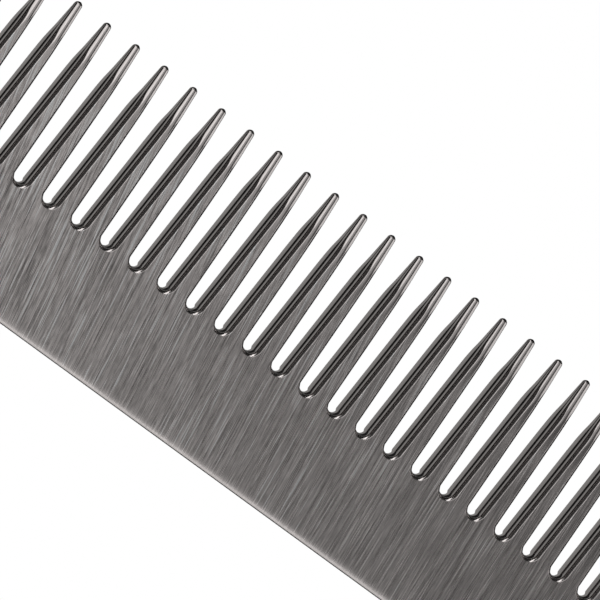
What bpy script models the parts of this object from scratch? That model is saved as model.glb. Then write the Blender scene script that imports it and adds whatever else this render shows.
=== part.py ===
"""A barber's comb, sawn and ground from one flat strip of stainless steel.

The comb lies flat. X runs along its length, its teeth point towards +Y, and Z is its thickness.
The origin is at the middle of its underside. Lengths are in metres.

The real comb is one piece. Here it is divided along a line through the round ends of its slots, into
its back and its separate teeth, so that each tooth is a convex solid and every slot stays open.
"""

import math

import bmesh
import bpy

MM = 0.001

# The strip that the comb is cut from
THICKNESS = 2.0 * MM
BACK_HEIGHT = 11.2 * MM
BACK_CORNER_RADIUS = 4.0 * MM

# The row of teeth, and the round-ended slots between them
TOOTH_COUNT = 44
PITCH = 3.5 * MM
TOOTH_LENGTH = 16.8 * MM
SLOT_RADIUS = 0.8 * MM
TIP_RADIUS = 0.36 * MM

# The broad tooth at each end, which guards the others
END_WIDTH = 7.2 * MM
END_OUTER_RADIUS = 3.0 * MM
END_INNER_RADIUS = 0.6 * MM

# Grinding: a chamfer along every edge, and tips thinned on both faces
EDGE_CHAMFER = 0.15 * MM
CHAMFER_FROM_ANGLE = math.radians(60)
TIP_GRIND_LENGTH = 4.5 * MM
TIP_GRIND_DEPTH = 0.75 * MM

# The division between the back and the teeth, and how far cutters and uncut stubs pass it
DIVISION_GAP = 0.3 * MM
STUB = 1.0 * MM
CUTTER_MARGIN = 2.0 * MM

# How finely arcs are drawn
SLOT_SEGMENTS = 8
TIP_SEGMENTS = 6
CORNER_SEGMENTS = 8
MERGE = 0.0001 * MM
FLAT_ANGLE = math.radians(0.5)

SLOT_COUNT = TOOTH_COUNT + 1
LAST_SLOT_X = 0.5 * (SLOT_COUNT - 1) * PITCH
HALF_LENGTH = LAST_SLOT_X + SLOT_RADIUS + END_WIDTH
HALF_HEIGHT = 0.5 * (BACK_HEIGHT + TOOTH_LENGTH)
TIP_Y = HALF_HEIGHT
ROOT_Y = TIP_Y - TOOTH_LENGTH
DIVISION_Y = ROOT_Y + SLOT_RADIUS

STEEL_COLOUR = (0.33, 0.32, 0.31, 1.0)
STEEL_ROUGHNESS = 0.36


def clear_scene():
    """Start from nothing, whatever file is open."""
    for thing in list(bpy.data.objects):
        bpy.data.objects.remove(thing)


def new_collection(name):
    group = bpy.data.collections.new(name)
    bpy.context.scene.collection.children.link(group)
    return group


def brushed_steel():
    material = bpy.data.materials.new("brushed_stainless_steel")
    material.use_nodes = True
    shader = material.node_tree.nodes["Principled BSDF"]
    shader.inputs["Base Color"].default_value = STEEL_COLOUR
    shader.inputs["Metallic"].default_value = 1.0
    shader.inputs["Roughness"].default_value = STEEL_ROUGHNESS
    return material


def side_lean():
    """The angle in radians off +Y of a tooth's side, which touches the round slot end and tip."""
    across = 0.5 * PITCH
    along = TOOTH_LENGTH - TIP_RADIUS - SLOT_RADIUS
    turn = math.asin((SLOT_RADIUS + TIP_RADIUS) / math.hypot(across, along))
    return math.atan2(across, along) - turn


LEAN = side_lean()


def half_width(y):
    """Half the width of a tooth at height y, between its straight sides."""
    return TIP_RADIUS / math.cos(LEAN) + (TIP_Y - TIP_RADIUS - y) * math.tan(LEAN)


def arc(x, y, radius, start, end, segments):
    """Points on an arc about (x, y), from one angle to another in radians from +X, both included."""
    points = []
    for step in range(segments + 1):
        angle = start + (end - start) * step / segments
        points.append((x + radius * math.cos(angle), y + radius * math.sin(angle)))
    return points


def mirrored(outline):
    """The outline reflected left to right, still anticlockwise."""
    return [(-x, y) for x, y in reversed(outline)]


def tooth_outline():
    """One tooth about X = 0, anticlockwise from the left of its stub."""
    foot_y = DIVISION_Y - STUB
    foot = [(-half_width(foot_y), foot_y), (half_width(foot_y), foot_y)]
    return foot + arc(0.0, TIP_Y - TIP_RADIUS, TIP_RADIUS, LEAN, math.pi - LEAN, TIP_SEGMENTS)


def end_tooth_outline():
    """The broad tooth at the right-hand end, anticlockwise from the foot of its inner side."""
    inner_side_x = LAST_SLOT_X + 0.5 * PITCH
    foot_y = DIVISION_Y - STUB
    foot = [(inner_side_x - half_width(foot_y), foot_y), (HALF_LENGTH, foot_y)]
    outer = arc(HALF_LENGTH - END_OUTER_RADIUS, TIP_Y - END_OUTER_RADIUS, END_OUTER_RADIUS,
                0.0, 0.5 * math.pi, CORNER_SEGMENTS)
    inner_y = TIP_Y - END_INNER_RADIUS
    inner_x = inner_side_x - half_width(inner_y) + END_INNER_RADIUS / math.cos(LEAN)
    inner = arc(inner_x, inner_y, END_INNER_RADIUS, 0.5 * math.pi, math.pi - LEAN, TIP_SEGMENTS)
    return foot + outer + inner


def slot_outline(x, top_y):
    """The lower part of the slot at x, from the top of its right-hand side, round its end, to the left."""
    half = 0.5 * PITCH - half_width(top_y)
    end = arc(x, DIVISION_Y, SLOT_RADIUS, -LEAN, LEAN - math.pi, SLOT_SEGMENTS)
    return [(x + half, top_y)] + end + [(x - half, top_y)]


def back_outline():
    """The back with a stub of every tooth, anticlockwise from its left-hand corner."""
    stub_y = DIVISION_Y + STUB
    corner_x = HALF_LENGTH - BACK_CORNER_RADIUS
    corner_y = BACK_CORNER_RADIUS - HALF_HEIGHT
    points = arc(-corner_x, corner_y, BACK_CORNER_RADIUS, math.pi, 1.5 * math.pi, CORNER_SEGMENTS)
    points += arc(corner_x, corner_y, BACK_CORNER_RADIUS, 1.5 * math.pi, 2.0 * math.pi, CORNER_SEGMENTS)
    points.append((HALF_LENGTH, stub_y))
    for slot in range(SLOT_COUNT):
        points += slot_outline(LAST_SLOT_X - slot * PITCH, stub_y)
    points.append((-HALF_LENGTH, stub_y))
    return points


def plate_mesh(name, outline):
    """A flat plate of the outline's shape, as thick as the strip and standing on Z = 0."""
    curve = bpy.data.curves.new(name, "CURVE")
    curve.dimensions = "2D"
    curve.fill_mode = "BOTH"
    curve.extrude = 0.5 * THICKNESS
    spline = curve.splines.new("POLY")
    spline.points.add(len(outline) - 1)
    for point, (x, y) in zip(spline.points, outline):
        point.co = (x, y, 0.0, 1.0)
    spline.use_cyclic_u = True
    drawn = bpy.data.objects.new(name, curve)
    bpy.context.scene.collection.objects.link(drawn)
    graph = bpy.context.evaluated_depsgraph_get()
    mesh = bpy.data.meshes.new_from_object(drawn.evaluated_get(graph))
    bpy.data.objects.remove(drawn)
    shape = bmesh.new()
    shape.from_mesh(mesh)
    bmesh.ops.remove_doubles(shape, verts=shape.verts, dist=MERGE)
    bmesh.ops.dissolve_limit(shape, angle_limit=FLAT_ANGLE, verts=shape.verts, edges=shape.edges)
    bmesh.ops.translate(shape, verts=shape.verts, vec=(0.0, 0.0, 0.5 * THICKNESS))
    shape.to_mesh(mesh)
    shape.free()
    return mesh


def cutting_block(name, low, high, group):
    """A box from corner low to corner high that only cuts."""
    bpy.ops.mesh.primitive_cube_add(size=1.0)
    block = bpy.context.object
    block.name = name
    for vertex in block.data.vertices:
        for axis in range(3):
            vertex.co[axis] = low[axis] + (vertex.co[axis] + 0.5) * (high[axis] - low[axis])
    block.hide_render = True
    block.display_type = "WIRE"
    for owner in list(block.users_collection):
        owner.objects.unlink(block)
    group.objects.link(block)
    return block


def grinding_wedge(name, side, group):
    """A tilted block that thins the tips on one face of the comb. side is 1 above and -1 below."""
    reach = HALF_LENGTH + CUTTER_MARGIN
    run = TIP_GRIND_LENGTH + CUTTER_MARGIN
    heights = sorted((0.0, side * THICKNESS))
    block = cutting_block(name, (-reach, -run, heights[0]), (reach, run, heights[1]), group)
    block.location = (0.0, TIP_Y - TIP_GRIND_LENGTH, THICKNESS if side > 0 else 0.0)
    block.rotation_euler.x = -side * math.atan2(TIP_GRIND_DEPTH, TIP_GRIND_LENGTH)
    return block


def division_block(name, start_y, end_y, group):
    """A block across the whole comb, from the division to beyond one side of it."""
    reach = HALF_LENGTH + CUTTER_MARGIN
    low = (-reach, min(start_y, end_y), -CUTTER_MARGIN)
    high = (reach, max(start_y, end_y), THICKNESS + CUTTER_MARGIN)
    return cutting_block(name, low, high, group)


def add_solid(name, mesh, x, cutters, parent, group):
    """One solid of the comb: a plate with its edges chamfered, then cut by each cutter."""
    solid = bpy.data.objects.new(name, mesh)
    solid.location.x = x
    solid.parent = parent
    group.objects.link(solid)
    bevel = solid.modifiers.new("edge_chamfer", "BEVEL")
    bevel.width = EDGE_CHAMFER
    bevel.segments = 1
    bevel.limit_method = "ANGLE"
    bevel.angle_limit = CHAMFER_FROM_ANGLE
    for cutter in cutters:
        cut = solid.modifiers.new(cutter.name, "BOOLEAN")
        cut.operation = "DIFFERENCE"
        cut.solver = "EXACT"
        cut.object = cutter


def build_comb():
    clear_scene()
    parts = new_collection("metal_barber_comb")
    tools = new_collection("cutters")
    whole = bpy.data.objects.new("whole_comb", None)
    parts.objects.link(whole)

    far_y = HALF_HEIGHT + CUTTER_MARGIN
    above = division_block("cut_above_division", DIVISION_Y - 0.5 * DIVISION_GAP, far_y, tools)
    below = division_block("cut_below_division", DIVISION_Y + 0.5 * DIVISION_GAP, -far_y, tools)
    grinds = [grinding_wedge("upper_tip_grind", 1, tools), grinding_wedge("lower_tip_grind", -1, tools)]

    right_end = end_tooth_outline()
    meshes = {
        "comb_back": plate_mesh("comb_back", back_outline()),
        "tooth": plate_mesh("tooth", tooth_outline()),
        "end_tooth_right": plate_mesh("end_tooth_right", right_end),
        "end_tooth_left": plate_mesh("end_tooth_left", mirrored(right_end)),
    }
    steel = brushed_steel()
    for mesh in meshes.values():
        mesh.materials.append(steel)

    add_solid("comb_back", meshes["comb_back"], 0.0, [above], whole, parts)
    for name in ("end_tooth_left", "end_tooth_right"):
        add_solid(name, meshes[name], 0.0, [below] + grinds, whole, parts)
    for tooth in range(TOOTH_COUNT):
        x = (tooth + 0.5) * PITCH - LAST_SLOT_X
        add_solid(f"tooth_{tooth + 1:02d}", meshes["tooth"], x, [below] + grinds, whole, parts)


build_comb()
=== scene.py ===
"""The looks of the metal barber's comb: its finished surface, its brushed steel, the light and the camera.

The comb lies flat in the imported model's frame: X along it, +Y towards its tooth tips, +Z up.
Its surface is made as one unbroken skin, which is then shared out between the same regions as the CAD
model's nodes: the back, the teeth and the two broad end teeth. Lengths are in metres.
"""

import math
from collections import namedtuple

import bmesh
import bpy
from mathutils import Matrix, Quaternion, Vector


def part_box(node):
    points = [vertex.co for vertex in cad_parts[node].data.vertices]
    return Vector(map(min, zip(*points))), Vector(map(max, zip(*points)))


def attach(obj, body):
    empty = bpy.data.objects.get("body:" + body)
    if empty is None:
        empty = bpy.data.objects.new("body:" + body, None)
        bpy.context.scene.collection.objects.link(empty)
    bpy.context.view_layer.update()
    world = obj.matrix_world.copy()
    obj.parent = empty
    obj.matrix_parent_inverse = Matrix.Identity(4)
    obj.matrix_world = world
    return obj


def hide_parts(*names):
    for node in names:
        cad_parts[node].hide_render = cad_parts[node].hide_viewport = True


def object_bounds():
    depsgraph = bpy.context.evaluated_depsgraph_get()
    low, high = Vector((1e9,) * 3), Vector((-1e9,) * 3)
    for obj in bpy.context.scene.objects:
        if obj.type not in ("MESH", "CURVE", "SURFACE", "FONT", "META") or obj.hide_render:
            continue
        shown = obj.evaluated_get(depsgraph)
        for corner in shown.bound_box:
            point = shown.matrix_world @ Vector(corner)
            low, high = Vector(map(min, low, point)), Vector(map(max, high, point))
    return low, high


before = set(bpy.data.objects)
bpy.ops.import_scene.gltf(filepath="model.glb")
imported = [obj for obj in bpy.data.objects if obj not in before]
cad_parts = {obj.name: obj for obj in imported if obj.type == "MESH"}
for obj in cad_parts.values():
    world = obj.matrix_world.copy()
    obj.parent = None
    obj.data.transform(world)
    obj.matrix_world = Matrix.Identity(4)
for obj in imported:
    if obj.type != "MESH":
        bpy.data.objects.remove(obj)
CAD_LOW, CAD_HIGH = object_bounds()

MM = 0.001

# Places and sizes read from the frame
HALF_LENGTH = CAD_HIGH.x
TIP_Y = CAD_HIGH.y
BACK_Y = CAD_LOW.y
THICKNESS = CAD_HIGH.z - CAD_LOW.z
TOOTH_NAMES = sorted(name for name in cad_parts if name.startswith("tooth_"))
TOOTH_X = [0.5 * (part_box(name)[0].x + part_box(name)[1].x) for name in TOOTH_NAMES]
PITCH = (TOOTH_X[-1] - TOOTH_X[0]) / (len(TOOTH_X) - 1)
LAST_SLOT_X = TOOTH_X[-1] + 0.5 * PITCH
DIVISION_Y = 0.5 * (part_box("comb_back")[1].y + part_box(TOOTH_NAMES[0])[0].y)

# Rounded corners of the outline, as the CAD model has them
SLOT_RADIUS = 0.8 * MM
TIP_RADIUS = 0.36 * MM
BACK_CORNER_RADIUS = 4.0 * MM
END_OUTER_RADIUS = 3.0 * MM
END_INNER_RADIUS = 0.6 * MM

# Rounded edges in section: how far in from the outline the face starts, how deep the round goes, how far
# in the upright wall stands, and how many degrees round from flat the round starts. A start above 0 gives
# the face a crisp rim. The teeth's sides have a soft upper edge, an upright land, a step outwards and a
# wall below it. The ends of the slots are crisper above and fall away below. The back and the comb's two
# ends are worn to a wide, shallow round.
TOOTH_UPPER = (0.31 * MM, 0.39 * MM, 0.01 * MM, 10.0)
TOOTH_LOWER = (0.08 * MM, 0.14 * MM, -0.095 * MM, 0.0)
SLOT_END_UPPER = (0.21 * MM, 0.32 * MM, -0.03 * MM, 38.0)
SLOT_END_LOWER = (0.50 * MM, 0.90 * MM, -0.16 * MM, 0.0)
WORN_ROUND = (1.0 * MM, 0.24 * MM, 0.0, 0.0)

# The step in the wall: the depths below the upper face at which it starts and ends, and its soft corners
TOOTH_STEP = (0.80 * MM, 0.98 * MM)
SLOT_END_STEP = (0.43 * MM, 0.74 * MM)
STEP_CORNER = 0.06 * MM

# How far an end tooth's inner corner has turned into the worn edge, and how soon down a slot's round end
# the tooth's edge has turned into the slot end's
INNER_CORNER_WEAR = 0.4
SLOT_END_RUN = 2.4

# Towards the tips the faces are crowned: by what share of the half width they fall to the sides, and how
# far from the tips that starts and is full
CROWN_RATIO = 0.19
CROWN_START = 6.5 * MM
CROWN_FULL = 3.0 * MM

# There they are also ground off in a slope, which starts softly, and rounded at the nose
GRIND_LENGTH = 4.5 * MM
GRIND_DEPTH = 0.75 * MM
GRIND_BLEND = 0.8 * MM
NOSE_LENGTH = 0.24 * MM
NOSE_DEPTH = 0.22 * MM

# How deep the grinding is where it has narrowed the tooth's rounded edge in full, and the share of the
# edge's width that is left there
EDGE_GONE_DEPTH = 0.3 * MM
EDGE_LEFT = 0.28

# How finely the surface is drawn. RIM_SUPPORT places a row close inside each rim, as a share of the way
# to the middle, so that the rim's shading stays at the rim.
ROUND_STEPS = 7
TIP_STEPS = 8
SIDE_STEPS = 8
GRIND_STEPS = 14
ARC_SIDE_STEPS = 6
ARC_END_STEPS = 12
CORNER_STEPS = 12
FACE_COLUMNS = 4
RIM_SUPPORT = 0.07
BACK_ROWS = 8
END_COLUMNS = 12
END_ARC_STEPS = 8
MERGE_DISTANCE = 0.0001 * MM


# ------------------------------------------------------------------ the surface


def side_lean():
    """The angle off +Y of a tooth's side, which touches the round slot end and the round tip."""
    across = 0.5 * PITCH
    along = TIP_Y - TIP_RADIUS - DIVISION_Y
    turn = math.asin((SLOT_RADIUS + TIP_RADIUS) / math.hypot(across, along))
    return math.atan2(across, along) - turn


LEAN = side_lean()


def half_width(y):
    """Half a tooth's width between its straight sides at height y."""
    return TIP_RADIUS / math.cos(LEAN) + (TIP_Y - TIP_RADIUS - y) * math.tan(LEAN)


def blend(first, second, share):
    return first + (second - first) * share


def spread(start, end, steps):
    """Evenly spaced values from start to end, both included."""
    return [blend(start, end, step / steps) for step in range(steps + 1)]


RIM_TO_MIDDLE = [0.0] + spread(RIM_SUPPORT, 1.0, FACE_COLUMNS - 1)


def smooth_step(value):
    value = min(max(value, 0.0), 1.0)
    return value * value * (3.0 - 2.0 * value)


def edge_round(width, depth, wall, start):
    """A rounded edge from its face to its wall, as (inset, depth) points.

    They lie on the part of a quarter ellipse that begins start degrees round from its flat end.
    """
    first = math.radians(start)
    points = []
    for angle in spread(first, 0.5 * math.pi, ROUND_STEPS):
        across = (math.sin(angle) - math.sin(first)) / (1.0 - math.sin(first))
        down = (math.cos(first) - math.cos(angle)) / math.cos(first)
        points.append((blend(width, wall, across), depth * down))
    return points


def edge_section(upper, lower, step):
    """An edge in section from the upper face to the lower one, as (inset, height) points."""
    step_top, step_bottom = THICKNESS - step[0], THICKNESS - step[1]
    points = [(inset, THICKNESS - depth) for inset, depth in edge_round(*upper)]
    points.append((upper[2], step_top + STEP_CORNER))
    points.append((upper[2], step_top))
    points.append((lower[2], step_bottom))
    points.append((lower[2], step_bottom - STEP_CORNER))
    return points + list(reversed(edge_round(*lower)))


TOOTH_EDGE = edge_section(TOOTH_UPPER, TOOTH_LOWER, TOOTH_STEP)
WORN_EDGE = edge_section(WORN_ROUND, WORN_ROUND, TOOTH_STEP)
SLOT_END_EDGE = edge_section(SLOT_END_UPPER, SLOT_END_LOWER, SLOT_END_STEP)


def slope_loss(y):
    """What the sloping grind has taken off each face at height y: a ramp with a soft start."""
    run = y - (TIP_Y - GRIND_LENGTH)
    slope = GRIND_DEPTH / GRIND_LENGTH
    if run < -GRIND_BLEND:
        return 0.0
    if run < GRIND_BLEND:
        return slope * (run + GRIND_BLEND) ** 2 / (4.0 * GRIND_BLEND)
    return slope * run


def nose_loss(y):
    """What rounding the nose has taken off each face at height y: a quarter ellipse."""
    share = min(max(1.0 - (TIP_Y - y) / NOSE_LENGTH, 0.0), 1.0)
    return NOSE_DEPTH * (1.0 - math.sqrt(1.0 - share * share))


def crown(y, width):
    """How far a tooth's face of that half width falls from its middle to its sides at height y."""
    share = smooth_step((y - (TIP_Y - CROWN_START)) / (CROWN_START - CROWN_FULL))
    return share * CROWN_RATIO * width


def ground(x, y, height, fall=0.0):
    """The point at a height in the full thickness, after both faces are ground, and fall where crowned."""
    half = 0.5 * THICKNESS
    reach = half - slope_loss(y) - nose_loss(y) - fall
    return Vector((x, y, CAD_LOW.z + half + (height - half) * reach / half))


class Station:
    """A place on the comb's outline.

    into is the direction into the steel, and wear how far the tooth's edge has turned into worn_edge.
    fall is how far the crowned face has fallen at the outline, and half is the tooth's half width there.
    narrowing is the share of the rounded edge's width that grinding has left.
    """

    def __init__(self, x, y, into, wear=0.0, worn_edge=WORN_EDGE):
        self.x = x
        self.y = y
        self.into = into
        self.wear = wear
        self.worn_edge = worn_edge
        self.fall = 0.0
        self.half = TIP_RADIUS
        self.narrowing = 1.0

    def edge(self):
        """The edge in section here, from the upper face to the lower one, as (inset, height) points."""
        points = []
        for (sharp_inset, sharp_height), (worn_inset, worn_height) in zip(TOOTH_EDGE, self.worn_edge):
            inset = blend(sharp_inset * self.narrowing, worn_inset, self.wear)
            points.append((inset, blend(sharp_height, worn_height, self.wear)))
        return points

    def fall_at(self, inset):
        """How far the crowned face has fallen from the tooth's middle at a distance in from the outline."""
        return self.fall * (1.0 - inset / self.half) ** 2

    def section(self):
        """The points of the edge here, from the upper face to the lower one."""
        points = []
        for inset, height in self.edge():
            x = self.x + self.into[0] * inset
            y = self.y + self.into[1] * inset
            points.append(ground(x, y, height, self.fall_at(inset)))
        return points

    def rim_fall(self, side):
        """How far the crowned face has fallen at its rim, above for side 1 and below for -1."""
        return self.fall_at(self.edge()[0 if side > 0 else -1][0])

    def rim(self, side):
        """Where the face starts, as (x, y), above for side 1 and below for -1."""
        point = self.section()[0 if side > 0 else -1]
        return point.x, point.y

    def moved(self, x, sign=1.0):
        """The same station on a shape mirrored left to right if sign is -1, and then moved along x."""
        into = (sign * self.into[0], self.into[1])
        copy = Station(x + sign * self.x, self.y, into, self.wear, self.worn_edge)
        copy.fall = self.fall
        copy.half = self.half
        copy.narrowing = self.narrowing
        return copy


class Skin:
    """Collects patches of the comb's surface, each marked with the region that it belongs to."""

    def __init__(self):
        self.mesh = bmesh.new()
        self.region = self.mesh.faces.layers.int.new("region")

    def patch(self, rows, region):
        """A patch of quads from rows of points, all of one length."""
        grid = [[self.mesh.verts.new(point) for point in row] for row in rows]
        for first, second in zip(grid, grid[1:]):
            for corners in zip(first, first[1:], second[1:], second):
                face = self.mesh.faces.new(corners)
                face[self.region] = region
                face.smooth = True

    def edge(self, stations, region):
        self.patch([station.section() for station in stations], region)

    def face(self, rows, side, region):
        """A patch of a face from rows of (x, y, fall), above for side 1 and below for -1."""
        height = THICKNESS if side > 0 else 0.0
        self.patch([[ground(x, y, height, fall) for x, y, fall in row] for row in rows], region)

    def close(self):
        bmesh.ops.remove_doubles(self.mesh, verts=self.mesh.verts, dist=MERGE_DISTANCE)
        bmesh.ops.recalc_face_normals(self.mesh, faces=self.mesh.faces)


def arc_stations(x, y, radius, angles, inward, wears, worn_edge=WORN_EDGE):
    """Stations on an arc about (x, y). The steel lies inside the arc if inward is 1, outside if -1."""
    stations = []
    for angle, wear in zip(angles, wears):
        across, up = math.cos(angle), math.sin(angle)
        into = (-inward * across, -inward * up)
        stations.append(Station(x + radius * across, y + radius * up, into, wear, worn_edge))
    return stations


def side_heights(top):
    """Heights up a tooth's side to the top of its straight part, closer together where it is ground."""
    grind_y = TIP_Y - GRIND_LENGTH - GRIND_BLEND
    return spread(DIVISION_Y, grind_y, SIDE_STEPS) + spread(grind_y, top, GRIND_STEPS)[1:]


def tooth_stations():
    """The right-hand half of a tooth about X = 0, from the division to the top of its tip."""
    start_y = TIP_Y - TIP_RADIUS * (1.0 - math.sin(LEAN))
    stations = [Station(half_width(y), y, (-1.0, 0.0)) for y in side_heights(start_y)]
    angles = spread(LEAN, 0.5 * math.pi, TIP_STEPS)[1:]
    wears = [0.0] * len(angles)
    stations += arc_stations(0.0, TIP_Y - TIP_RADIUS, TIP_RADIUS, angles, 1, wears)
    for station in stations:
        station.fall = crown(station.y, station.x)
        station.half = max(station.x, TIP_RADIUS)
        station.narrowing = blend(1.0, EDGE_LEFT, smooth_step(slope_loss(station.y) / EDGE_GONE_DEPTH))
    return stations


def add_tooth(skin, x, region):
    right = tooth_stations()
    left = [station.moved(0.0, -1.0) for station in right]
    outline = right + list(reversed(left[:-1]))
    skin.edge([station.moved(x) for station in outline], region)
    left_shares = [share - 1.0 for share in RIM_TO_MIDDLE]
    shares = left_shares + [-share for share in reversed(left_shares[:-1])]
    for side in (1, -1):
        rows = []
        for station in right:
            half, y = station.rim(side)
            fall = station.rim_fall(side)
            rows.append([(x + half * share, y, fall * share * share) for share in shares])
        skin.face(rows, side, region)


def slot_stations():
    """The round end of the slot at X = 0, from its left side at the division to its right side."""
    side_x = SLOT_RADIUS / math.cos(LEAN)
    left, corner_left = math.pi + LEAN, 1.25 * math.pi
    right, corner_right = 2.0 * math.pi - LEAN, 1.75 * math.pi
    angles = spread(left, corner_left, ARC_SIDE_STEPS)
    angles += spread(corner_left, corner_right, ARC_END_STEPS)[1:]
    angles += spread(corner_right, right, ARC_SIDE_STEPS)[1:]
    wears = [smooth_step(-SLOT_END_RUN * math.sin(angle)) for angle in angles]
    arc = arc_stations(0.0, DIVISION_Y, SLOT_RADIUS, angles, -1, wears, SLOT_END_EDGE)
    return [Station(-side_x, DIVISION_Y, (-1.0, 0.0))] + arc + [Station(side_x, DIVISION_Y, (1.0, 0.0))]


def on_square(station):
    """Where the line into the steel from a slot's station meets the square cell round the slot's end."""
    half = 0.5 * PITCH
    across, up = station.into
    reach = half / max(abs(across), abs(up))
    return across * reach, DIVISION_Y + up * reach


def add_slot_end(skin, x, region):
    """The round end of a slot, and the faces from it out to its square cell."""
    stations = slot_stations()
    skin.edge([station.moved(x) for station in stations], region)
    for side in (1, -1):
        rows = []
        for station in stations:
            rim_x, rim_y = station.rim(side)
            far_x, far_y = on_square(station)
            row = [(blend(rim_x, far_x, share), blend(rim_y, far_y, share)) for share in RIM_TO_MIDDLE]
            rows.append([(x + across, y, 0.0) for across, y in row])
        skin.face(rows, side, region)


CELL_Y = DIVISION_Y - 0.5 * PITCH
CELL_X = [on_square(station)[0] for station in slot_stations()[ARC_SIDE_STEPS + 1:-ARC_SIDE_STEPS - 1]]
CELL_SIDE_Y = [on_square(station)[1] for station in slot_stations()[-ARC_SIDE_STEPS - 2:]]


def add_back_strip(skin, x, region):
    """The back below the slot at x: its faces, and its worn edge."""
    stations = [Station(x + across, BACK_Y, (0.0, 1.0), 1.0) for across in CELL_X]
    skin.edge(stations, region)
    for side in (1, -1):
        rim_y = stations[0].rim(side)[1]
        rows = []
        for y in spread(CELL_Y, rim_y, BACK_ROWS):
            rows.append([(x + across, y, 0.0) for across in CELL_X])
        skin.face(rows, side, region)


def coons(left, right, top, bottom):
    """A grid of (x, y) that fills the space between four sides. left and right run downwards."""
    rows = []
    for i, (start, end) in enumerate(zip(left, right)):
        down = i / (len(left) - 1)
        row = []
        for j, (above, below) in enumerate(zip(top, bottom)):
            across = j / (len(top) - 1)
            point = []
            for axis in (0, 1):
                sides = blend(start[axis], end[axis], across) + blend(above[axis], below[axis], down)
                upper = blend(left[0][axis], right[0][axis], across)
                lower = blend(left[-1][axis], right[-1][axis], across)
                point.append(sides - blend(upper, lower, down))
            row.append(tuple(point))
        rows.append(row)
    return rows


def add_back_end(skin, sign, region):
    """The end of the back beyond the last slot's cell, to the right for sign 1."""
    inner_x = LAST_SLOT_X + 0.5 * PITCH
    half_arc = CORNER_STEPS // 2
    side_rows = len(CELL_SIDE_Y) - 1 + BACK_ROWS - half_arc
    corner = (HALF_LENGTH - BACK_CORNER_RADIUS, BACK_Y + BACK_CORNER_RADIUS)
    side = [Station(HALF_LENGTH, y, (-1.0, 0.0), 1.0) for y in spread(DIVISION_Y, corner[1], side_rows)]
    angles = spread(0.0, -0.5 * math.pi, CORNER_STEPS)[1:]
    arc = arc_stations(*corner, BACK_CORNER_RADIUS, angles, 1, [1.0] * len(angles))
    foot_x = spread(corner[0], inner_x, END_COLUMNS - half_arc)[1:]
    foot = [Station(x, BACK_Y, (0.0, 1.0), 1.0) for x in foot_x]
    stations = side + arc + foot
    skin.edge([station.moved(0.0, sign) for station in stations], region)
    for face in (1, -1):
        rims = [station.rim(face) for station in stations]
        middle = side_rows + half_arc
        left_y = list(reversed(CELL_SIDE_Y)) + spread(CELL_Y, rims[-1][1], BACK_ROWS)[1:]
        left = [(inner_x, y) for y in left_y]
        top = [(x, DIVISION_Y) for x in spread(inner_x, rims[0][0], END_COLUMNS)]
        bottom = list(reversed(rims[middle:]))
        grid = coons(left, rims[:middle + 1], top, bottom)
        skin.face([[(sign * x, y, 0.0) for x, y in row] for row in grid], face, region)


def end_tooth_stations():
    """The right-hand end tooth's inner side, its top and its outer side, each from its start."""
    inner_x = LAST_SLOT_X + 0.5 * PITCH
    inner_y = TIP_Y - END_INNER_RADIUS
    inner_centre_x = inner_x - half_width(inner_y) + END_INNER_RADIUS / math.cos(LEAN)
    start_y = inner_y + END_INNER_RADIUS * math.sin(LEAN)
    inner = [Station(inner_x - half_width(y), y, (1.0, 0.0)) for y in side_heights(start_y)]
    angles = spread(math.pi - LEAN, 0.5 * math.pi, END_ARC_STEPS)[1:]
    wears = spread(0.0, INNER_CORNER_WEAR, END_ARC_STEPS)[1:]
    inner += arc_stations(inner_centre_x, inner_y, END_INNER_RADIUS, angles, 1, wears)
    outer_x, outer_y = HALF_LENGTH - END_OUTER_RADIUS, TIP_Y - END_OUTER_RADIUS
    outer_heights = spread(DIVISION_Y, outer_y, SIDE_STEPS + GRIND_STEPS)
    outer = [Station(HALF_LENGTH, y, (-1.0, 0.0), 1.0) for y in outer_heights]
    angles = spread(0.0, 0.5 * math.pi, END_ARC_STEPS)[1:]
    outer += arc_stations(outer_x, outer_y, END_OUTER_RADIUS, angles, 1, [1.0] * END_ARC_STEPS)
    columns = FACE_COLUMNS + END_COLUMNS
    top = []
    for x, wear in zip(spread(inner_centre_x, outer_x, columns), spread(INNER_CORNER_WEAR, 1.0, columns)):
        top.append(Station(x, TIP_Y, (0.0, -1.0), wear))
    return inner, top, outer


def add_end_tooth(skin, sign, region):
    """A broad end tooth, on the right for sign 1."""
    inner, top, outer = end_tooth_stations()
    outline = inner + top[1:-1] + list(reversed(outer))
    skin.edge([station.moved(0.0, sign) for station in outline], region)
    cell_x = LAST_SLOT_X + 0.5 * PITCH
    for side in (1, -1):
        left = [station.rim(side) for station in inner]
        right = [station.rim(side) for station in outer]
        bottom_x = [blend(left[0][0], cell_x, share) for share in RIM_TO_MIDDLE]
        bottom_x += spread(cell_x, right[0][0], END_COLUMNS)[1:]
        bottom = [(x, DIVISION_Y) for x in bottom_x]
        grid = coons(left, right, bottom, [station.rim(side) for station in top])
        skin.face([[(sign * x, y, 0.0) for x, y in row] for row in grid], side, region)


def whole_skin():
    """The comb's whole surface, and the names of its regions in order."""
    skin = Skin()
    names = ["comb_back", "end_tooth_left", "end_tooth_right"] + TOOTH_NAMES
    for slot in range(len(TOOTH_NAMES) + 1):
        x = LAST_SLOT_X - slot * PITCH
        add_slot_end(skin, x, names.index("comb_back"))
        add_back_strip(skin, x, names.index("comb_back"))
    for end, sign in (("left", -1.0), ("right", 1.0)):
        add_back_end(skin, sign, names.index("comb_back"))
        add_end_tooth(skin, sign, names.index("end_tooth_" + end))
    for name, x in zip(TOOTH_NAMES, TOOTH_X):
        add_tooth(skin, x, names.index(name))
    skin.close()
    return skin, names


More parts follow.
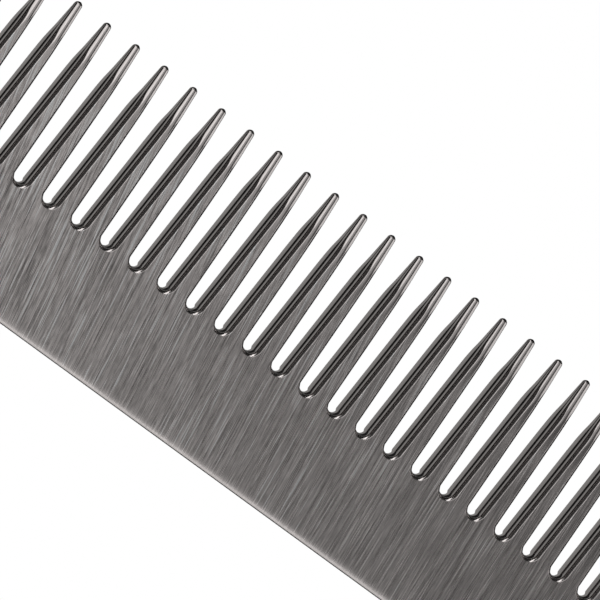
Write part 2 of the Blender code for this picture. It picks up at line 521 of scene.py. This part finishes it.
def share_out(skin, names):
    """One object for each region, closed at the division, with the whole skin's shading normals."""
    shares = [[] for _ in names]
    for face in skin.mesh.faces:
        shares[face[skin.region]].append(face)
    return [region_object(name, faces, skin) for name, faces in zip(names, shares)]


def region_object(name, faces, skin):
    part = bmesh.new()
    shading = part.verts.layers.float_vector.new("shading_normal")
    copies = {}
    for face in faces:
        for vertex in face.verts:
            if vertex not in copies:
                copy = part.verts.new(vertex.co)
                copy[shading] = vertex.normal
                copies[vertex] = copy
        part.faces.new([copies[vertex] for vertex in face.verts]).smooth = True
    rims = [edge for edge in part.edges if edge.is_boundary]
    bmesh.ops.holes_fill(part, edges=rims, sides=0)
    bmesh.ops.recalc_face_normals(part, faces=part.faces)
    mesh = bpy.data.meshes.new(name)
    part.to_mesh(mesh)
    part.free()
    normals = []
    shading_data = mesh.attributes["shading_normal"].data
    for polygon in mesh.polygons:
        for index in polygon.vertices:
            normals.append(shading_data[index].vector[:] if polygon.use_smooth else polygon.normal[:])
    mesh.normals_split_custom_set(normals)
    mesh.attributes.remove(mesh.attributes["shading_normal"])
    piece = bpy.data.objects.new(name + "_surface", mesh)
    bpy.context.scene.collection.objects.link(piece)
    return piece


# ------------------------------------------------------------------ brushed steel

STEEL_COLOUR = (0.62, 0.580, 0.568)
STEEL_ANISOTROPY = 0.5
FACE_ROUGHNESS = (0.24, 0.34)
EDGE_ROUGHNESS = 0.17
TIP_ROUGHNESS = 0.13
BUMP_HEIGHT = 0.006 * MM
EDGE_BUMP = 0.25

# Brightness as a share of the steel's colour: of edges, of worn margins, and of the darkest grain
EDGE_BRIGHTNESS = 0.95
MARGIN_BRIGHTNESS = 1.22
LEAST_BRIGHTNESS = 0.45

# The upward parts of the normal between which an edge becomes a flat face
FLAT_RANGE = (0.90, 0.99)

# The brushing's slant off +Y, how much it turns along the comb, and how fast, for each mm from the middle
SLANT = 0.15
SLANT_TURN = -0.10
SLANT_RATE = 0.03

# The layers of the grain: changes a mm across and along the brushing, detail, and place in the noise
GRAIN = {
    "fine": (8.5, 0.16, 2.0, 0.0),
    "short": (8.0, 0.9, 1.0, 17.0),
    "broad": (1.6, 0.08, 1.0, 31.0),
    "cloud": (0.25, 0.10, 1.0, 57.0),
    "bright_hair": (9.0, 0.20, 0.0, 83.0),
    "dark_hair": (8.0, 0.18, 0.0, 111.0),
}
GRAIN_ROUGHNESS = 0.55
THICKNESS_RATE = 0.25
NOISE_MEAN = 0.5
FINE_RANGE = (0.3, 0.7)

# The noise between which a hairline shows faintly and fully. The other layers are used as they are.
HAIR_RANGES = {"bright_hair": (0.60, 0.73), "dark_hair": (0.64, 0.76)}

# What each layer adds to the brightness and to the bumps
BRIGHTNESS_WEIGHTS = {
    "fine": 2.2, "short": 1.5, "broad": 0.5, "cloud": 0.3, "bright_hair": 1.3, "dark_hair": -0.4,
}
BUMP_WEIGHTS = {"fine": 1.0, "short": 0.5, "broad": 1.0, "bright_hair": 0.3, "dark_hair": -0.3}

# The grain's contrast, from one x in mm to another
CONTRAST = (0.95, 0.42)
CONTRAST_X = (-45.0, 20.0)

# Use has polished the teeth, but not the broad end teeth. The teeth's colour is also brightened towards
# their tips and along a slant in x, partly as real rubbing by use and partly as painted light that stands
# in for the light the teeth catch there. In mm: where from a tip the polish starts and is full, and where
# from the comb's ends an end tooth stops and the other teeth start
POLISH_RANGE = (9.0, 4.0)
POLISH_LOSS = 0.9
END_TOOTH_RANGE = (5.0, 7.0)
# Painted light, partly real rubbing: how much brighter the teeth's colour gets at their tips, and how that
# slants along x
RUBBED_AND_SHEEN_GAIN = 0.5
RUBBED_AND_SHEEN_SLANT = -0.1

# The worn margin along the back and ends, in mm, and how far the fine grain frays it
MARGIN_RANGE = (0.15, 1.1)
MARGIN_WEAR = 0.75
MARGIN_FRAY = 2.4

Place = namedtuple("Place", "x y z across flat from_end between_ends polish")


def wire(tree, kind, inputs, **settings):
    """Adds a shader node with its settings, and its inputs wired or set."""
    node = tree.nodes.new(kind)
    for name, value in settings.items():
        setattr(node, name, value)
    for socket, value in inputs.items():
        if isinstance(value, bpy.types.NodeSocket):
            tree.links.new(value, node.inputs[socket])
        else:
            node.inputs[socket].default_value = value
    return node


def calculate(tree, operation, *values):
    node = wire(tree, "ShaderNodeMath", dict(enumerate(values)), operation=operation)
    return node.outputs[0]


def remap(tree, value, start, end, low, high, curve="LINEAR"):
    """Values from start to end become low to high, and stay there beyond."""
    inputs = {"Value": value, "From Min": start, "From Max": end, "To Min": low, "To Max": high}
    return wire(tree, "ShaderNodeMapRange", inputs, interpolation_type=curve).outputs[0]


def mix(tree, share, first, second):
    return wire(tree, "ShaderNodeMix", {0: share, 2: first, 3: second}).outputs[0]


def place_on_steel(tree):
    """Where on the comb a point is, in mm and in shares from 0 to 1."""
    spot = wire(tree, "ShaderNodeTexCoord", {})
    inputs = {0: spot.outputs["Object"], "Scale": 1.0 / MM}
    scaled = wire(tree, "ShaderNodeVectorMath", inputs, operation="SCALE")
    x, y, z = wire(tree, "ShaderNodeSeparateXYZ", {0: scaled.outputs[0]}).outputs
    turn = calculate(tree, "TANH", calculate(tree, "MULTIPLY", x, SLANT_RATE))
    slant = calculate(tree, "MULTIPLY_ADD", turn, SLANT_TURN, SLANT)
    across = calculate(tree, "ADD", x, calculate(tree, "MULTIPLY", y, slant))
    up = wire(tree, "ShaderNodeSeparateXYZ", {0: spot.outputs["Normal"]}).outputs[2]
    flat = remap(tree, calculate(tree, "ABSOLUTE", up), *FLAT_RANGE, 0.0, 1.0, "SMOOTHSTEP")
    from_end = calculate(tree, "SUBTRACT", HALF_LENGTH / MM, calculate(tree, "ABSOLUTE", x))
    between_ends = remap(tree, from_end, *END_TOOTH_RANGE, 0.0, 1.0)
    polish_y = [TIP_Y / MM - distance for distance in POLISH_RANGE]
    polish = remap(tree, y, *polish_y, 0.0, 1.0, "SMOOTHSTEP")
    polish = calculate(tree, "MULTIPLY", polish, between_ends)
    return Place(x, y, z, across, flat, from_end, between_ends, polish)


def streaks(tree, place, across_rate, along_rate, detail, offset):
    """Noise drawn out along the brushing, with so many changes a mm across and along it."""
    vector = wire(tree, "ShaderNodeCombineXYZ", {
        0: calculate(tree, "MULTIPLY", place.across, across_rate),
        1: calculate(tree, "MULTIPLY_ADD", place.y, along_rate, offset),
        2: calculate(tree, "MULTIPLY", place.z, THICKNESS_RATE * across_rate),
    })
    inputs = {"Vector": vector.outputs[0], "Scale": 1.0, "Detail": detail, "Roughness": GRAIN_ROUGHNESS}
    return wire(tree, "ShaderNodeTexNoise", inputs).outputs[0]


def grain_layers(tree, place):
    layers = {name: streaks(tree, place, *layer) for name, layer in GRAIN.items()}
    for name, noise_range in HAIR_RANGES.items():
        layers[name] = remap(tree, layers[name], *noise_range, 0.0, 1.0)
    return layers


def weighted(tree, layers, weights):
    total = 0.0
    for name, weight in weights.items():
        total = calculate(tree, "MULTIPLY_ADD", layers[name], weight, total)
    return total


def grain_brightness(tree, place, layers):
    """The brightness of a brushed face: the grain about 1, fainter to the right and where polished."""
    plain = [weight for name, weight in BRIGHTNESS_WEIGHTS.items() if name not in HAIR_RANGES]
    grain = weighted(tree, layers, BRIGHTNESS_WEIGHTS)
    grain = calculate(tree, "SUBTRACT", grain, NOISE_MEAN * sum(plain))
    contrast = remap(tree, place.x, *CONTRAST_X, *CONTRAST)
    kept = calculate(tree, "MULTIPLY_ADD", place.polish, -POLISH_LOSS, 1.0)
    contrast = calculate(tree, "MULTIPLY", contrast, kept)
    brightness = calculate(tree, "MULTIPLY_ADD", grain, contrast, 1.0)
    return calculate(tree, "MAXIMUM", brightness, LEAST_BRIGHTNESS)


def rubbed_and_sheen_gain(tree, place):
    """How much brighter the teeth's colour is made towards their tips: partly real rubbing by use, partly
    painted light for the light the teeth catch there.
    """
    reach = calculate(tree, "MULTIPLY_ADD", place.x, RUBBED_AND_SHEEN_SLANT, place.y)
    gain = remap(tree, reach, DIVISION_Y / MM, TIP_Y / MM, 0.0, RUBBED_AND_SHEEN_GAIN)
    return calculate(tree, "MULTIPLY_ADD", gain, place.between_ends, 1.0)


def margin_wear(tree, place, layers):
    """How far the back and ends are worn bare, in a margin that the fine grain frays."""
    from_back = calculate(tree, "SUBTRACT", place.y, BACK_Y / MM)
    margin = calculate(tree, "MINIMUM", from_back, place.from_end)
    margin = calculate(tree, "SUBTRACT", margin, NOISE_MEAN * MARGIN_FRAY)
    frayed = calculate(tree, "MULTIPLY_ADD", layers["fine"], MARGIN_FRAY, margin)
    return remap(tree, frayed, *MARGIN_RANGE, MARGIN_WEAR, 0.0, "SMOOTHSTEP")


def steel_tint(tree, place, layers):
    brightness = grain_brightness(tree, place, layers)
    # Painted light, partly real rubbing: the teeth's colour brightens towards their tips
    brightness = calculate(tree, "MULTIPLY", brightness, rubbed_and_sheen_gain(tree, place))
    brightness = mix(tree, margin_wear(tree, place, layers), brightness, MARGIN_BRIGHTNESS)
    shade = mix(tree, place.flat, EDGE_BRIGHTNESS, brightness)
    tint = wire(tree, "ShaderNodeVectorMath", {0: STEEL_COLOUR, "Scale": shade}, operation="SCALE")
    return tint.outputs[0]


def steel_roughness(tree, place, layers):
    face = remap(tree, layers["fine"], *FINE_RANGE, *FACE_ROUGHNESS)
    face = mix(tree, place.polish, face, TIP_ROUGHNESS)
    return mix(tree, place.flat, EDGE_ROUGHNESS, face)


def steel_bumps(tree, place, layers):
    """The brushing's relief, fainter on the edges and gone from the polished tips."""
    depth = calculate(tree, "MULTIPLY_ADD", place.flat, 1.0 - EDGE_BUMP, EDGE_BUMP)
    depth = calculate(tree, "MULTIPLY", depth, calculate(tree, "SUBTRACT", 1.0, place.polish))
    height = calculate(tree, "MULTIPLY", weighted(tree, layers, BUMP_WEIGHTS), depth)
    inputs = {"Height": height, "Strength": 1.0, "Distance": BUMP_HEIGHT}
    return wire(tree, "ShaderNodeBump", inputs).outputs[0]


def brushed_steel():
    """Steel brushed across the comb, with hairlines, cloudy patches and plain polished edges."""
    material = bpy.data.materials.new("brushed_steel")
    material.use_nodes = True
    tree = material.node_tree
    shader = tree.nodes["Principled BSDF"]
    place = place_on_steel(tree)
    layers = grain_layers(tree, place)
    shader.inputs["Metallic"].default_value = 1.0
    shader.inputs["Anisotropic"].default_value = STEEL_ANISOTROPY
    along_teeth = wire(tree, "ShaderNodeCombineXYZ", {0: 0.0, 1: 1.0, 2: 0.0})
    tree.links.new(along_teeth.outputs[0], shader.inputs["Tangent"])
    tree.links.new(steel_tint(tree, place, layers), shader.inputs["Base Color"])
    tree.links.new(steel_roughness(tree, place, layers), shader.inputs["Roughness"])
    tree.links.new(steel_bumps(tree, place, layers), shader.inputs["Normal"])
    return material


# ------------------------------------------------------------------ floor, light and camera

WHITE = (1.0, 1.0, 1.0, 1.0)
FLOOR_HALF_SIZE = 8.0
FLOOR_DROP = 0.02 * MM

# The dark studio that the steel sees: its colour by height, from 0 straight down to 1 straight up
STUDIO_COLOURS = {
    0.06: (0.30, 0.30, 0.295, 1.0),
    0.11: (0.012, 0.012, 0.012, 1.0),
    0.55: (0.012, 0.012, 0.012, 1.0),
    0.95: (0.075, 0.075, 0.075, 1.0),
}

# Softboxes that face the comb's middle: bearing off +X and height above the horizon in degrees, roll in
# degrees, width, depth and radiance
SOFTBOX_DISTANCE = 0.7
SOFTBOXES = {
    "key": (117.0, 28.0, -40.0, 0.62, 0.24, 1.9),
    "back_fill": (-60.0, 42.0, 0.0, 0.6, 0.4, 0.75),
    "side_fill": (14.0, 38.0, 0.0, 0.42, 0.32, 0.58),
}

# Panels that hang level over the comb: x, y, width, depth and radiance
PANEL_HEIGHT = 0.40
PANELS = {
    "overhead": (-0.05, 0.0, 0.20, 0.6, 0.70),
    "beside": (0.075, -0.05, 0.18, 0.5, 0.22),
}

CAMERA_TARGET = Vector((-1.58, 4.07, 0.0)) * MM
CAMERA_TILT = math.radians(21.88)
CAMERA_BEARING = math.radians(-179.6)
CAMERA_ROLL = math.radians(36.49)
CAMERA_DISTANCE = 938.0 * MM
CAMERA_LENS = 607.4
SENSOR_WIDTH = 36.0


def emission(name, colour):
    material = bpy.data.materials.new(name)
    material.use_nodes = True
    tree = material.node_tree
    tree.nodes.clear()
    shader = wire(tree, "ShaderNodeEmission", {"Color": colour, "Strength": 1.0})
    wire(tree, "ShaderNodeOutputMaterial", {"Surface": shader.outputs[0]})
    return material


def add_floor():
    """A plain white floor, which the steel doesn't mirror."""
    mesh = bpy.data.meshes.new("floor")
    shape = bmesh.new()
    bmesh.ops.create_grid(shape, x_segments=1, y_segments=1, size=FLOOR_HALF_SIZE)
    shape.to_mesh(mesh)
    shape.free()
    floor = bpy.data.objects.new("floor", mesh)
    floor.location.z = CAD_LOW.z - FLOOR_DROP
    floor.data.materials.append(emission("white_floor", WHITE))
    floor.visible_glossy = False
    floor.visible_shadow = False
    bpy.context.scene.collection.objects.link(floor)


def studio_world():
    """White where the camera looks past the floor. The steel sees a dark studio, and a glow from below."""
    world = bpy.data.worlds.new("studio")
    world.use_nodes = True
    tree = world.node_tree
    tree.nodes.clear()
    direction = wire(tree, "ShaderNodeTexCoord", {}).outputs["Generated"]
    height = wire(tree, "ShaderNodeSeparateXYZ", {0: direction}).outputs[2]
    ramp = wire(tree, "ShaderNodeValToRGB", {0: calculate(tree, "MULTIPLY_ADD", height, 0.5, 0.5)})
    stops = ramp.color_ramp.elements
    for position, colour in STUDIO_COLOURS.items():
        stops.new(position).color = colour
    stops.remove(stops[0])
    stops.remove(stops[-1])
    seen = wire(tree, "ShaderNodeLightPath", {}).outputs["Is Camera Ray"]
    colour = wire(tree, "ShaderNodeMix", {0: seen, 6: ramp.outputs[0], 7: WHITE}, data_type="RGBA")
    background = wire(tree, "ShaderNodeBackground", {"Color": colour.outputs[2], "Strength": 1.0})
    wire(tree, "ShaderNodeOutputWorld", {"Surface": background.outputs[0]})
    bpy.context.scene.world = world


def add_lamp(name, width, depth, radiance):
    """An area light of a given radiance, at the origin and facing down. The camera doesn't see it."""
    lamp = bpy.data.lights.new(name, "AREA")
    lamp.shape = "RECTANGLE"
    lamp.size = width
    lamp.size_y = depth
    lamp.energy = radiance * math.pi * width * depth
    light = bpy.data.objects.new(name, lamp)
    light.visible_camera = False
    bpy.context.scene.collection.objects.link(light)
    return light


def direction_from(bearing, height):
    """The unit vector at a bearing off +X and a height above the horizon."""
    level = math.cos(height)
    return Vector((level * math.cos(bearing), level * math.sin(bearing), math.sin(height)))


def add_lights():
    for name, (bearing, height, roll, width, depth, radiance) in SOFTBOXES.items():
        back = direction_from(math.radians(bearing), math.radians(height))
        rolled = Quaternion((0.0, 0.0, 1.0), math.radians(roll))
        light = add_lamp(name, width, depth, radiance)
        light.location = back * SOFTBOX_DISTANCE
        light.rotation_euler = (back.to_track_quat("Z", "Y") @ rolled).to_euler()
    for name, (x, y, width, depth, radiance) in PANELS.items():
        add_lamp(name, width, depth, radiance).location = (x, y, PANEL_HEIGHT)


def add_camera():
    """A long lens above the comb, tilted towards its left end and rolled."""
    back = direction_from(CAMERA_BEARING, 0.5 * math.pi - CAMERA_TILT)
    level = (Vector((1.0, 0.0, 0.0)) - back * back.x).normalized()
    upright = back.cross(level)
    right = level * math.cos(CAMERA_ROLL) + upright * math.sin(CAMERA_ROLL)
    up = upright * math.cos(CAMERA_ROLL) - level * math.sin(CAMERA_ROLL)
    lens = bpy.data.cameras.new("camera")
    lens.lens = CAMERA_LENS
    lens.sensor_width = SENSOR_WIDTH
    camera = bpy.data.objects.new("camera", lens)
    pose = Matrix((right, up, back)).transposed().to_4x4()
    pose.translation = CAMERA_TARGET + back * CAMERA_DISTANCE
    camera.matrix_world = pose
    bpy.context.scene.collection.objects.link(camera)
    bpy.context.scene.camera = camera


def build():
    skin, names = whole_skin()
    steel = brushed_steel()
    for name, piece in zip(names, share_out(skin, names)):
        piece.data.materials.append(steel)
        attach(piece, "root")
        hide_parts(name)
    skin.mesh.free()
    add_floor()
    studio_world()
    add_lights()
    add_camera()
    bpy.context.scene.view_settings.view_transform = "Standard"


build()
